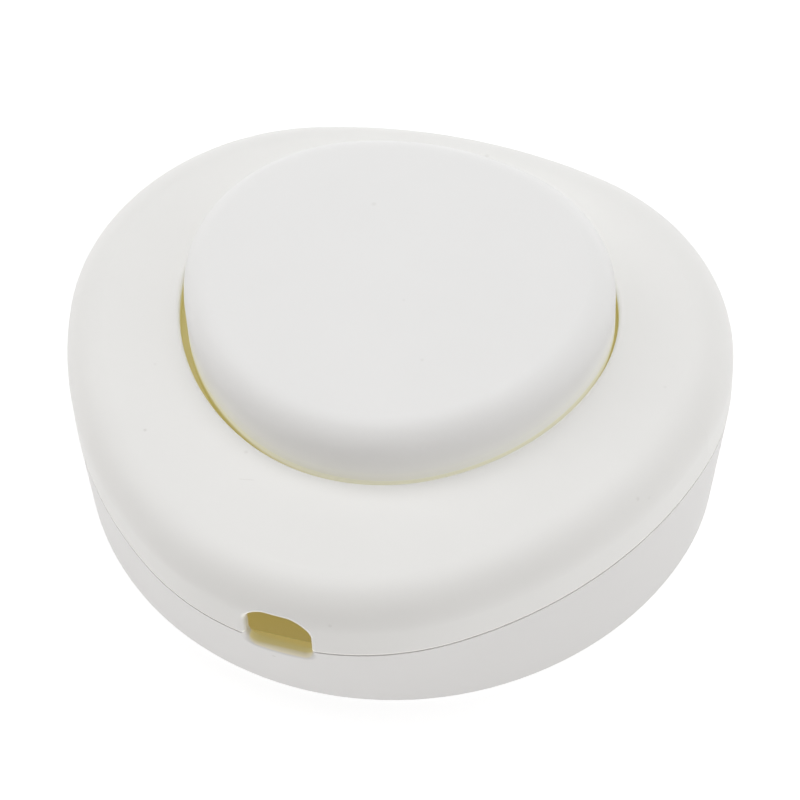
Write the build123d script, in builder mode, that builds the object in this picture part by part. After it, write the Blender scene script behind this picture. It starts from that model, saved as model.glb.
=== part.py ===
"""Inline foot switch for a flat two-core lamp cord.

Origin at the centre of the casing's underside, +Z up, the cord along Y, its nose entry toward -Y.
All lengths are in millimetres.
"""

import os
from math import atan2, cos, pi, radians, sin, sqrt, tan

from build123d import *

os.makedirs("parts", exist_ok=True)

# Cord that the switch is made for
cord_width = 6.3
cord_height = 3.9
cord_entry_gap = 0.13
cord_line = -1.08

# Seam outline of the casing: reaches from the origin and radii of its arcs
seam_nose = 33.0
seam_nose_radius = 26.75
seam_corner = 34.55
seam_corner_turn = 113.0
seam_corner_radius = 25.1
seam_flank_radius = 44.5
seam_rear = 30.05

# Foot outline, where the base stands: its arcs meet in the seam outline's directions, so that
# the wall between them is smooth
foot_nose = 30.0
foot_nose_radius = 32.6
foot_corner = 33.3
foot_corner_turn = 108.15
foot_corner_radius = 26.85
foot_flank_radius = 33.95
foot_rear = 29.75

# Outline of the button hole, from its own centre
hole_centre = 2.7
hole_nose = 21.1
hole_nose_radius = 19.15
hole_corner = 22.3
hole_corner_turn = 109.0
hole_corner_radius = 17.5
hole_flank_radius = 25.1
hole_rear = 19.85

# Casing heights
seam_height = 12.8
cover_top = 20.2
button_top = 27.5
foot_edge = 0.6

# Casing walls
base_wall = 1.9
floor_thickness = 2.0
cover_wall = 1.6
roof_thickness = 2.0
cover_draft = 0.2
shoulder_radius = 4.0
hole_edge = 0.4

# Lip that centres the cover on the base
lip_gap = 0.1
lip_thickness = 1.0
lip_rise = 1.2
lip_root = 2.0
seam_groove = 0.12
seam_groove_height = 0.15

# Cord entries at the nose and at the rear
entry_corner = 2.4
entry_top = 16.9
entry_sill = 10.8
entry_foot = 1.2
entry_mouth = 0.5
entry_wall = 1.1
entry_margin = 1.0
entry_reach = 4.0
lip_cutout = 10.0

# Push button
button_gap = 0.48
button_offset = 0.2
button_travel = 4.0
button_wall = 1.8
button_draft = 0.2
button_rim = 3.0
dome_radius = 120.0
roof_gap = 0.3
rim_reach = 1.0
rim_height = 1.5
rim_cutout = 11.0
button_ceiling = 2.3
ceiling_slope = 3.2
ceiling_inset = 2.0
rib_thickness = 1.2
rib_height = 3.2
rib_count = 6
rib_gap = 0.8
ceiling_overlap = 0.3

# Cover screws, driven from below into bosses of the cover
rear_screw_x = 25.2
rear_screw_y = 12.0
nose_screw_x = 13.2
nose_screw_y = -21.2
boss_radius = 2.8
boss_height = 5.0
boss_wall = 0.4
cover_screw_shank = 1.4
cover_screw_head = 2.5
cover_screw_head_height = 2.0
cover_screw_length = 12.0
cover_screw_recess = 3.0
head_clearance = 0.2
shank_clearance = 0.05
passage_clearance = 0.2
boss_seat_gap = 0.1

# Switch insert, a round cup with a lid that guides the plunger
cup_radius = 11.0
cup_wall = 1.6
cup_floor = 1.5
cup_height = 11.8
cup_ring_gap = 0.1
cup_ring_wall = 1.2
cup_ring_height = 1.4
lid_thickness = 1.2
spigot_wall = 0.7
spigot_height = 1.0
spigot_gap = 0.1
collar_height = 3.6
collar_radius = 9.6
lug_reach = 13.4
lug_radius = 2.3
lug_bottom = 8.0
lug_turn = 45.0
insert_screw_shank = 1.05
insert_screw_head = 2.0
insert_screw_head_height = 1.3
insert_screw_length = 10.5

# Plunger and ratchet
plunger_radius = 7.6
plunger_wall = 2.2
plunger_fit = 0.15
plunger_head = 7.9
plunger_head_height = 2.2
socket_gap = 0.1
socket_wall = 1.6
key_width = 1.8
key_reach = 0.9
key_gap = 0.2
tooth_count = 8
tooth_height = 3.2
tooth_wall = 2.6
pawl_count = 4
pawl_angle = 8.0
pawl_gap_angle = 3.0
pawl_wall = 1.4
pawl_clearance = 0.35
pawl_root = 0.5
sleeve_clearance = 0.4
rotor_disc_radius = 8.6
rotor_disc_height = 1.8

# Rotor hub, spindle and contact bridge
spindle_radius = 1.5
spindle_fit = 0.06
spindle_press = 0.03
spindle_head = 2.4
spindle_head_height = 0.8
spindle_shoulder = 2.0
spindle_shoulder_height = 1.1
axial_play = 0.1
hub_side = 4.4
hub_gap = 0.1
hub_height = 2.7
bridge_thickness = 0.6
bridge_disc = 4.2
bridge_reach = 7.4
bridge_arm = 3.2
contact_gap = 0.15
contact_wire = 0.4
contact_spring_radius = 3.65
contact_spring_turns = 3
spring_recess = 1.0
spring_side_gap = 0.3

# Return spring
return_wire = 1.0
return_spring_side_gap = 0.2
return_spring_turns = 4.5
spring_end_gap = 0.05

# Fixed contacts and terminals
strip_width = 5.0
strip_thickness = 0.8
strip_slot_gap = 0.15
tip_reach = 6.0
tip_radius = 1.6
tip_height = 0.8
tip_shank = 0.8
strip_inner_end = 4.0
terminal_reach = 17.5
terminal_size_x = 6.0
terminal_size_y = 7.0
terminal_height = 5.5
terminal_seat = 3.5
terminal_upright = 4.5
terminal_gap = 0.15
terminal_frame_wall = 1.3
terminal_frame_rise = 1.3
wire_bore = 1.35
wire_bore_rise = 2.6
neutral_x = 14.0
neutral_y = -12.5
neutral_length = 12.0
neutral_pitch = 6.4
terminal_edge = 0.4
terminal_screw_shank = 1.05
terminal_screw_head = 2.2
terminal_screw_head_height = 1.3
terminal_screw_length = 1.9

# Cord clamps
clamp_screw_reach = 6.4
clamp_post = 2.4
clamp_bar_width = 5.0
clamp_bar_thickness = 2.0
clamp_ridge = 0.5
clamp_ridge_width = 1.2
clamp_nose_y = -23.0
clamp_nose_seat = 8.0
clamp_rear_y = 20.0
clamp_rear_seat = 6.0
clamp_screw_shank = 1.05
clamp_screw_head = 2.0
clamp_screw_length = 8.0
sink_angle = 90.0

# Screw recesses
cross_width = 0.7
cross_depth = 0.7


class RoundTriangle:
    """Closed outline of six tangent arcs: nose, flank, corner, rear side, corner, flank."""

    def __init__(self, nose, nose_r, corner, corner_turn, corner_r, flank_r, rear, centre_y=0.0):
        turn = radians(corner_turn)
        nose_centre = Vector(0, nose_r - nose)
        right = Vector(sin(turn), -cos(turn)) * (corner - corner_r)
        left = Vector(-right.X, right.Y)
        drop = right.Y - rear
        rear_r = (corner_r**2 - right.X**2 - drop**2) / (2 * (drop + corner_r))
        flank = self.wrapping_centre(nose_centre, nose_r, right, corner_r, flank_r)
        self.centre_y = centre_y
        self.rounds = [
            (nose_centre, nose_r),
            (flank, flank_r),
            (right, corner_r),
            (Vector(0, rear - rear_r), rear_r),
            (left, corner_r),
            (Vector(-flank.X, flank.Y), flank_r),
        ]

    @staticmethod
    def wrapping_centre(first, first_r, second, second_r, arc_r):
        """Centre of the large arc that touches two round corners from outside."""
        span = second - first
        to_first = arc_r - first_r
        to_second = arc_r - second_r
        along = (to_first**2 - to_second**2 + span.length**2) / (2 * span.length)
        across = sqrt(to_first**2 - along**2)
        direction = span.normalized()
        return first + direction * along + Vector(-direction.Y, direction.X) * across

    def arcs(self, inset=0.0, offset_x=0.0):
        """Start, middle and end of each arc, all moved inward by the inset."""
        place = Vector(offset_x, self.centre_y)
        joints = []
        for index, (centre, radius) in enumerate(self.rounds):
            following, following_r = self.rounds[(index + 1) % len(self.rounds)]
            small, small_r, large = centre, radius, following
            if radius > following_r:
                small, small_r, large = following, following_r, centre
            joints.append(small + (small - large).normalized() * (small_r - inset))
        arcs = []
        for index, (centre, radius) in enumerate(self.rounds):
            start = joints[index - 1]
            end = joints[index]
            start_angle = atan2(start.Y - centre.Y, start.X - centre.X)
            end_angle = atan2(end.Y - centre.Y, end.X - centre.X)
            half_turn = ((end_angle - start_angle) % (2 * pi)) / 2
            outward = Vector(cos(start_angle + half_turn), sin(start_angle + half_turn))
            middle = centre + outward * (radius - inset)
            arcs.append((start + place, middle + place, end + place))
        return arcs


# Outlines of the casing at its seam and its foot, and of the button hole
seam_outline = RoundTriangle(
    seam_nose,
    seam_nose_radius,
    seam_corner,
    seam_corner_turn,
    seam_corner_radius,
    seam_flank_radius,
    seam_rear,
)
foot_outline = RoundTriangle(
    foot_nose,
    foot_nose_radius,
    foot_corner,
    foot_corner_turn,
    foot_corner_radius,
    foot_flank_radius,
    foot_rear,
)
hole_outline = RoundTriangle(
    hole_nose,
    hole_nose_radius,
    hole_corner,
    hole_corner_turn,
    hole_corner_radius,
    hole_flank_radius,
    hole_rear,
    hole_centre,
)

# Ratchet angles worked out from the sizes above: a full press turns the rotor by two pawl offsets
tooth_half = 180 / tooth_count
pawl_half = pawl_angle / 2
pawl_offset = tooth_half - pawl_gap_angle - pawl_half
plunger_bore = plunger_radius - plunger_wall
pawl_mean_radius = plunger_radius - plunger_wall / 2
tooth_run = 2 * pawl_mean_radius * sin(radians(tooth_half))

# Places worked out from the sizes above
axis_y = hole_centre
roof_height = cover_top - roof_thickness
skirt_bottom = roof_height - roof_gap - rim_height
ceiling_height = button_top - button_ceiling
entry_width = cord_width + 2 * cord_entry_gap
entry_length = 2 * seam_nose
cup_bottom = floor_thickness
cup_inner = cup_radius - cup_wall
contact_floor = cup_bottom + cup_floor
cup_top = cup_bottom + cup_height
lid_top = cup_top + lid_thickness
strip_top = contact_floor + strip_thickness
tip_top = strip_top + tip_height
bridge_bottom = tip_top + contact_gap
bridge_top = bridge_bottom + bridge_thickness
hub_bottom = contact_floor + spindle_shoulder_height + axial_play
rotor_bottom = hub_bottom + hub_height
tooth_root = rotor_bottom + rotor_disc_height
tooth_crest = tooth_root + tooth_height
sleeve_bottom = tooth_crest + sleeve_clearance + button_travel
lid_bore = plunger_radius + plunger_fit
socket_inner = plunger_head + socket_gap
socket_outer = socket_inner + socket_wall
head_bottom = ceiling_height - plunger_head_height
return_spring_radius = collar_radius + return_spring_side_gap + return_wire / 2
return_spring_bottom = lid_top + spring_end_gap
return_spring_height = ceiling_height - lid_top - 2 * spring_end_gap
rib_start = return_spring_radius + return_wire / 2 + rib_gap
rib_span = hole_corner - rib_start
strip_end = terminal_reach + terminal_size_x / 2 + terminal_gap + strip_thickness
terminal_bottom = terminal_seat + strip_thickness
cover_screw_points = [
    (rear_screw_x, rear_screw_y),
    (-rear_screw_x, rear_screw_y),
    (nose_screw_x, nose_screw_y),
    (-nose_screw_x, nose_screw_y),
]
clamp_sites = [(clamp_nose_y, clamp_nose_seat), (clamp_rear_y, clamp_rear_seat)]
clamp_screw_xs = [cord_line - clamp_screw_reach, cord_line + clamp_screw_reach]
lug_x = lug_reach * cos(radians(lug_turn))
lug_y = lug_reach * sin(radians(lug_turn))
lug_points = [(lug_x, axis_y + lug_y), (-lug_x, axis_y - lug_y)]


def level(height):
    """Horizontal plane at a height."""
    return Plane.XY.offset(height)


def outline_line(outline, inset, offset_x):
    """The six arcs of an outline, moved inward by the inset."""
    with BuildLine() as line:
        for start, middle, end in outline.arcs(inset, offset_x):
            ThreePointArc(start, middle, end)
    return line.line


def outline_face(outline, height, inset=0.0, offset_x=0.0):
    """Filled outline at a height."""
    with BuildSketch(level(height)) as face:
        make_face(outline_line(outline, inset, offset_x).edges())
    return face.sketch


def outline_ring(outline, height, outer_inset, inner_inset, offset_x=0.0):
    """Band between two insets of an outline at a height."""
    with BuildSketch(level(height)) as band:
        make_face(outline_line(outline, outer_inset, offset_x).edges())
        make_face(outline_line(outline, inner_inset, offset_x).edges(), mode=Mode.SUBTRACT)
    return band.sketch


def entry_face(bottom, top, bottom_corner, top_corner):
    """Upright outline of a cord entry."""
    with BuildSketch(Plane.XZ) as face:
        with Locations((cord_line, (bottom + top) / 2)):
            Rectangle(entry_width, top - bottom)
        fillet(face.vertices().group_by(Axis.Y)[-1], top_corner)
        fillet(face.vertices().group_by(Axis.Y)[0], bottom_corner)
    return face.sketch


def entry_relief(lower_face, upper_face, bottom, top):
    """Blocks just inside both cord entries, which leave only the entry wall outside them."""
    with BuildPart() as relief:
        loft([lower_face, upper_face], ruled=True)
        with BuildSketch(level(bottom)):
            with Locations((cord_line, -seam_nose), (cord_line, seam_rear)):
                Rectangle(entry_width + 2 * entry_margin, 2 * entry_reach)
        extrude(amount=top - bottom, mode=Mode.INTERSECT)
    return relief.part


def round_mouths(shell):
    """Round the outer edges of both cord entries of a shell."""
    reach = entry_width / 2 + entry_mouth / 4
    across = shell.edges().filter_by_position(Axis.X, cord_line - reach, cord_line + reach)
    rims = across.filter_by_position(Axis.Z, entry_sill - entry_mouth / 4, entry_top + entry_mouth / 4)
    rims = rims.filter_by(GeomType.LINE, reverse=True)
    rim_depth = entry_wall - entry_mouth / 4
    nose_rim = rims.filter_by_position(Axis.Y, -seam_nose, rim_depth - seam_nose)
    rear_rim = rims.filter_by_position(Axis.Y, seam_rear - rim_depth, seam_rear)
    fillet(nose_rim + rear_rim, entry_mouth)


def cut_seam_groove(bottom):
    """Shallow step round the outside of the casing, just below or above the seam."""
    extrude(
        outline_ring(seam_outline, bottom, -seam_groove, seam_groove),
        amount=seam_groove_height,
        mode=Mode.SUBTRACT,
    )


def pan_screw(shank_radius, length, head_radius, head_height):
    """Pan head screw with its head's underside at the origin and its shank pointing down."""
    with BuildPart() as screw:
        Cylinder(head_radius, head_height, align=(Align.CENTER, Align.CENTER, Align.MIN))
        fillet(screw.edges().filter_by(GeomType.CIRCLE).sort_by(Axis.Z)[-1], head_height * 0.45)
        Cylinder(shank_radius, length, align=(Align.CENTER, Align.CENTER, Align.MAX))
        chamfer(screw.edges().filter_by(GeomType.CIRCLE).sort_by(Axis.Z)[0], shank_radius * 0.35)
        with Locations((0, 0, head_height)):
            for turn in (0, 90):
                Box(
                    head_radius * 1.2,
                    cross_width,
                    2 * cross_depth,
                    rotation=(0, 0, turn),
                    mode=Mode.SUBTRACT,
                )
    return screw.part


def sunk_screw(shank_radius, length, head_radius):
    """Countersunk screw with the top of its head at the origin and its shank pointing down."""
    sink_depth = (head_radius - shank_radius) / tan(radians(sink_angle / 2))
    with BuildPart() as screw:
        Cylinder(shank_radius, length, align=(Align.CENTER, Align.CENTER, Align.MAX))
        chamfer(screw.edges().filter_by(GeomType.CIRCLE).sort_by(Axis.Z)[0], shank_radius * 0.35)
        with Locations((0, 0, -sink_depth / 2)):
            Cone(shank_radius, head_radius, sink_depth)
        for turn in (0, 90):
            Box(
                head_radius * 1.2,
                cross_width,
                2 * cross_depth,
                rotation=(0, 0, turn),
                mode=Mode.SUBTRACT,
            )
    return screw.part


def slope_height(angle):
    """Height of the ratchet's slope above the tooth roots, at an angle from a tooth's middle."""
    return tooth_height / 2 * (1 + sin(radians(angle)) / sin(radians(tooth_half)))


def sloped_sector(inner_radius, outer_radius, half_angle, bottom, top, slope_level, keep):
    """Ring sector centred on +X, cut along the slope of the ratchet teeth."""
    reach = 2 * outer_radius
    spread = reach * tan(radians(half_angle))
    slope = Plane(origin=(0, 0, slope_level), x_dir=(1, 0, 0), z_dir=(0, -tooth_height, tooth_run))
    with BuildPart() as sector:
        with BuildSketch(level(bottom)):
            Circle(outer_radius)
            Circle(inner_radius, mode=Mode.SUBTRACT)
            Polygon((0, 0), (reach, -spread), (reach, spread), align=None, mode=Mode.INTERSECT)
        extrude(amount=top - bottom)
        split(bisect_by=slope, keep=keep)
    return sector.part


def terminal_block(centre_x, centre_y, bottom, size_x, size_y, bore_offsets):
    """Brass block with a wire bore along Y and a screw hole from the top at each offset."""
    with BuildPart() as block:
        with Locations((centre_x, centre_y, bottom)):
            Box(size_x, size_y, terminal_height, align=(Align.CENTER, Align.CENTER, Align.MIN))
        chamfer(block.edges().filter_by(Axis.Z), terminal_edge)
        for offset in bore_offsets:
            with Locations(Location((centre_x + offset, centre_y, bottom + wire_bore_rise), (90, 0, 0))):
                Cylinder(wire_bore, size_y, mode=Mode.SUBTRACT)
            with Locations((centre_x + offset, centre_y, bottom + terminal_height)):
                Hole(terminal_screw_shank + shank_clearance, depth=terminal_height - wire_bore_rise)
    return block


def contact_strip(side):
    """Flat strip from the insert to a terminal, bent up behind it, for one side of the switch."""
    upright_top = terminal_bottom + terminal_upright
    with BuildPart() as strip:
        with BuildSketch(Plane.XZ.offset(-axis_y)):
            with BuildLine():
                Polyline(
                    (side * strip_inner_end, contact_floor),
                    (side * strip_end, contact_floor),
                    (side * strip_end, upright_top),
                    (side * (strip_end - strip_thickness), upright_top),
                    (side * (strip_end - strip_thickness), strip_top),
                    (side * strip_inner_end, strip_top),
                    close=True,
                )
            make_face()
        extrude(amount=strip_width / 2, both=True)
        bend = strip.edges().filter_by(Axis.Y).group_by(Axis.Z)[0].sort_by(Axis.X)[-1 if side > 0 else 0]
        fillet(bend, strip_thickness)
        with Locations((side * tip_reach, axis_y, strip_top)):
            Hole(tip_shank + spindle_press, depth=strip_thickness)
    return strip


def clamp_bar(clamp_y, clamp_seat):
    """Bar that presses the cord onto its saddle, with a ridge below and two countersunk holes."""
    bar_bottom = clamp_seat + cord_height
    with BuildPart() as bar:
        with BuildSketch(level(bar_bottom)):
            with Locations((cord_line, clamp_y)):
                SlotCenterToCenter(2 * clamp_screw_reach, clamp_bar_width)
        extrude(amount=clamp_bar_thickness)
        with BuildSketch(level(bar_bottom - clamp_ridge)):
            with Locations((cord_line, clamp_y)):
                Rectangle(2 * (clamp_screw_reach - clamp_post - clamp_ridge), clamp_ridge_width)
        extrude(amount=clamp_ridge)
        bar_top = bar_bottom + clamp_bar_thickness
        with Locations(*[(x, clamp_y, bar_top) for x in clamp_screw_xs]):
            CounterSinkHole(
                clamp_screw_shank + passage_clearance,
                clamp_screw_head + passage_clearance / 2,
                depth=clamp_bar_thickness,
                counter_sink_angle=sink_angle,
            )
    return bar


def coil_spring(wire, radius, bottom, height, turns):
    """Helical spring of round wire standing between two seats on the switch's axis."""
    with BuildPart() as spring:
        with BuildLine() as coil:
            Helix(
                (height - wire) / turns,
                height - wire,
                radius,
                center=(0, axis_y, bottom + wire / 2),
            )
        with BuildSketch(Plane(coil.line @ 0, z_dir=coil.line % 0)):
            Circle(wire / 2)
        sweep(is_frenet=True)
    return spring


def save(builder, label):
    """Name a finished piece and write its STEP file."""
    builder.part.label = label
    export_step(builder.part, f"parts/{label}.step")


# Base tray: tapered wall, floor, screw bosses, cord saddles and pockets for the inner pieces
with BuildPart() as base:
    sole = outline_face(foot_outline, 0, foot_edge)
    foot = outline_face(foot_outline, foot_edge)
    loft([sole, foot], ruled=True)
    loft([foot, outline_face(seam_outline, seam_height)], ruled=True)
    tray_floor = outline_face(foot_outline, floor_thickness, base_wall)
    tray_mouth = outline_face(seam_outline, seam_height, base_wall)
    loft([tray_floor, tray_mouth], ruled=True, mode=Mode.SUBTRACT)

    lip_outer = cover_wall + lip_gap
    with BuildSketch(level(seam_height - lip_root)):
        add(outline_ring(seam_outline, 0, lip_outer, lip_outer + lip_thickness))
        with Locations((cord_line, 0)):
            Rectangle(lip_cutout, entry_length, mode=Mode.SUBTRACT)
    extrude(amount=lip_root + lip_rise)

    with Locations(*[(x, y, 0) for x, y in cover_screw_points]):
        Cylinder(
            boss_radius + boss_wall,
            boss_height,
            align=(Align.CENTER, Align.CENTER, Align.MIN),
        )

    # Ring that centres the switch insert, and the posts under its screw lugs
    with BuildSketch(level(floor_thickness)):
        with Locations((0, axis_y)):
            Circle(cup_radius + cup_ring_gap + cup_ring_wall)
            Circle(cup_radius + cup_ring_gap, mode=Mode.SUBTRACT)
    extrude(amount=cup_ring_height)
    with BuildSketch(level(floor_thickness)):
        with Locations(*lug_points):
            Circle(lug_radius)
    extrude(amount=lug_bottom - floor_thickness)
    with BuildSketch(level(floor_thickness)):
        with Locations((0, axis_y)):
            Circle(cup_radius + cup_ring_gap)
    extrude(amount=lug_bottom - floor_thickness, mode=Mode.SUBTRACT)

    # Frames round the terminals, on low pedestals
    frame_grow = 2 * (terminal_gap + terminal_frame_wall)
    live_pocket = terminal_size_x + 2 * (terminal_gap + strip_thickness)
    with BuildSketch(level(floor_thickness)):
        with Locations((terminal_reach, axis_y), (-terminal_reach, axis_y)):
            RectangleRounded(live_pocket + frame_grow, terminal_size_y + frame_grow, terminal_frame_wall)
        with Locations((neutral_x, neutral_y)):
            RectangleRounded(neutral_length + frame_grow, terminal_size_x + frame_grow, terminal_frame_wall)
    extrude(amount=terminal_bottom + terminal_frame_rise - floor_thickness)
    with BuildSketch(level(terminal_seat)):
        with Locations((terminal_reach, axis_y), (-terminal_reach, axis_y)):
            Rectangle(live_pocket + 2 * terminal_gap, terminal_size_y + 2 * terminal_gap)
        with Locations((0, axis_y)):
            Rectangle(2 * terminal_reach, strip_width + 2 * strip_slot_gap)
        with Locations((neutral_x, neutral_y)):
            Rectangle(neutral_length + 2 * terminal_gap, terminal_size_x + 2 * terminal_gap)
    extrude(amount=terminal_bottom + terminal_frame_rise - terminal_seat, mode=Mode.SUBTRACT)

    # Cord saddles with a post for each clamp screw
    for clamp_y, clamp_seat in clamp_sites:
        with BuildSketch(level(floor_thickness)):
            with Locations((cord_line, clamp_y)):
                Rectangle(2 * clamp_screw_reach, clamp_bar_width)
        extrude(amount=clamp_seat - floor_thickness)
        with BuildSketch(level(floor_thickness)):
            with Locations(*[(x, clamp_y) for x in clamp_screw_xs]):
                Circle(clamp_post)
        extrude(amount=clamp_seat + cord_height - floor_thickness)

    # Sills of the two cord entries, in a wall that is thinner there
    thin_foot = outline_face(foot_outline, foot_edge, entry_wall)
    thin_seam = outline_face(seam_outline, seam_height, entry_wall)
    relief = entry_relief(thin_foot, thin_seam, entry_sill - 2 * entry_margin, seam_height)
    add(relief, mode=Mode.SUBTRACT)
    sill_face = entry_face(entry_sill, seam_height + 2 * lip_rise, entry_foot, foot_edge)
    extrude(sill_face, amount=entry_length, both=True, mode=Mode.SUBTRACT)
    round_mouths(base)
    cut_seam_groove(seam_height - seam_groove_height)

    # Holes for the cover screws, the insert screws and the clamp screws
    with Locations(*[(x, y, 0) for x, y in cover_screw_points]):
        Cylinder(
            cover_screw_head + head_clearance,
            2 * cover_screw_recess,
            mode=Mode.SUBTRACT,
        )
        Cylinder(
            cover_screw_shank + passage_clearance,
            2 * boss_height,
            align=(Align.CENTER, Align.CENTER, Align.MIN),
            mode=Mode.SUBTRACT,
        )
    with Locations(*[(x, y, lug_bottom) for x, y in lug_points]):
        Hole(insert_screw_shank + shank_clearance, depth=lug_bottom - floor_thickness)
    for clamp_y, clamp_seat in clamp_sites:
        bar_top = clamp_seat + cord_height + clamp_bar_thickness
        with Locations(*[(x, clamp_y, bar_top) for x in clamp_screw_xs]):
            Hole(clamp_screw_shank + shank_clearance, depth=clamp_screw_length + shank_clearance)
save(base, "base")


# Cover shell: near-upright wall, round shoulder, button hole, cord arches and screw bosses
with BuildPart() as cover:
    cover_mouth = outline_face(seam_outline, seam_height)
    cover_deck = outline_face(seam_outline, cover_top, cover_draft)
    loft([cover_mouth, cover_deck], ruled=True)
    fillet(cover.edges().group_by(Axis.Z)[-1], shoulder_radius)
    inner_mouth = outline_face(seam_outline, seam_height, cover_wall)
    inner_roof = outline_face(seam_outline, roof_height, cover_wall + cover_draft)
    loft([inner_mouth, inner_roof], ruled=True, mode=Mode.SUBTRACT)
    roof_edges = cover.edges().filter_by_position(Axis.Z, roof_height - 0.01, roof_height + 0.01)
    fillet(roof_edges, shoulder_radius - cover_wall)
    with BuildSketch(level(boss_height + boss_seat_gap)):
        with Locations(*cover_screw_points):
            Circle(boss_radius)
    extrude(amount=roof_height - boss_height + roof_thickness / 4)
    extrude(outline_face(hole_outline, roof_height), amount=roof_thickness, mode=Mode.SUBTRACT)
    fillet(cover.faces().sort_by(Axis.Z)[-1].inner_wires()[0].edges(), hole_edge)
    thin_mouth = outline_face(seam_outline, seam_height, entry_wall)
    thin_deck = outline_face(seam_outline, cover_top, entry_wall + cover_draft)
    relief = entry_relief(thin_mouth, thin_deck, seam_height, entry_top + entry_margin)
    add(relief, mode=Mode.SUBTRACT)
    arch_face = entry_face(seam_height - entry_corner, entry_top, foot_edge, entry_corner)
    extrude(arch_face, amount=entry_length, both=True, mode=Mode.SUBTRACT)
    round_mouths(cover)
    cut_seam_groove(seam_height)
    with Locations(*[(x, y, boss_height + boss_seat_gap) for x, y in cover_screw_points]):
        Cylinder(
            cover_screw_shank + shank_clearance,
            2 * (cover_screw_recess + cover_screw_length - boss_height),
            mode=Mode.SUBTRACT,
        )
save(cover, "cover")


# Push button: domed cap with a hollow skirt, a retaining rim, a socket and stiffening ribs
with BuildPart() as button:
    skirt_foot = outline_face(hole_outline, skirt_bottom, button_gap, button_offset)
    skirt_head = outline_face(hole_outline, button_top, button_gap + button_draft, button_offset)
    loft([skirt_foot, skirt_head], ruled=True)
    with Locations((button_offset, axis_y, button_top - dome_radius)):
        Sphere(dome_radius, mode=Mode.INTERSECT)
    fillet(button.faces().sort_by(Axis.Z)[-1].edges(), button_rim)
    inner_gap = button_gap + button_wall
    slope_bottom = ceiling_height - ceiling_slope
    skirt_inside = outline_face(hole_outline, skirt_bottom, inner_gap, button_offset)
    extrude(skirt_inside, amount=slope_bottom - skirt_bottom, mode=Mode.SUBTRACT)
    slope_foot = outline_face(hole_outline, slope_bottom, inner_gap, button_offset)
    slope_head = outline_face(hole_outline, ceiling_height, inner_gap + ceiling_inset, button_offset)
    loft([slope_foot, slope_head], ruled=True, mode=Mode.SUBTRACT)

    # Rim that stops against the cover's roof, cut away where the cord passes
    with BuildSketch(level(skirt_bottom)):
        add(outline_ring(hole_outline, 0, -rim_reach, inner_gap, button_offset))
        with Locations((cord_line, axis_y)):
            Rectangle(rim_cutout, 4 * hole_nose, mode=Mode.SUBTRACT)
    extrude(amount=rim_height)

    # Socket for the plunger's head, and ribs from the socket to the skirt
    with BuildSketch(level(head_bottom)):
        with Locations((0, axis_y)):
            Circle(socket_outer)
            Circle(socket_inner, mode=Mode.SUBTRACT)
    extrude(amount=plunger_head_height + ceiling_overlap)
    with BuildPart(mode=Mode.PRIVATE) as ribs:
        with BuildSketch(level(ceiling_height - rib_height)):
            with Locations((0, axis_y)):
                with PolarLocations(0, rib_count):
                    with Locations((rib_start + rib_span / 2, 0)):
                        Rectangle(rib_span, rib_thickness)
        extrude(amount=rib_height + ceiling_overlap)
        rib_limit = outline_face(hole_outline, slope_bottom - rib_height, inner_gap, button_offset)
        extrude(rib_limit, amount=3 * rib_height, mode=Mode.INTERSECT)
    add(ribs.part)
save(button, "button")


# Plunger: keyed sleeve under the button with four pawls that push the ratchet round
with BuildPart() as plunger:
    with BuildSketch(level(sleeve_bottom)):
        with Locations((0, axis_y)):
            Circle(plunger_radius)
            for turn in (0, 90):
                Rectangle(2 * (plunger_radius + key_reach), key_width, rotation=turn)
    extrude(amount=head_bottom - key_gap - sleeve_bottom)
    with BuildSketch(level(head_bottom - key_gap)):
        with Locations((0, axis_y)):
            Circle(plunger_radius)
    extrude(amount=key_gap)
    with BuildSketch(level(head_bottom)):
        with Locations((0, axis_y)):
            Circle(plunger_head)
    extrude(amount=plunger_head_height)
    with BuildSketch(level(sleeve_bottom)):
        with Locations((0, axis_y)):
            Circle(plunger_bore)
    extrude(amount=head_bottom - sleeve_bottom, mode=Mode.SUBTRACT)
    with Locations((0, axis_y, ceiling_height)):
        Hole(spindle_head, depth=plunger_head_height)
    pawl_level = tooth_root + slope_height(-pawl_offset) + pawl_clearance + button_travel
    pawl = sloped_sector(
        pawl_mean_radius - pawl_wall / 2,
        pawl_mean_radius + pawl_wall / 2,
        pawl_half,
        tooth_root,
        sleeve_bottom + pawl_root,
        pawl_level,
        Keep.TOP,
    )
    with Locations((0, axis_y)):
        with PolarLocations(0, pawl_count):
            add(pawl)
save(plunger, "plunger")


# Return spring between the insert's lid and the button
return_spring = coil_spring(
    return_wire,
    return_spring_radius,
    return_spring_bottom,
    return_spring_height,
    return_spring_turns,
)
save(return_spring, "return_spring")


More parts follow.
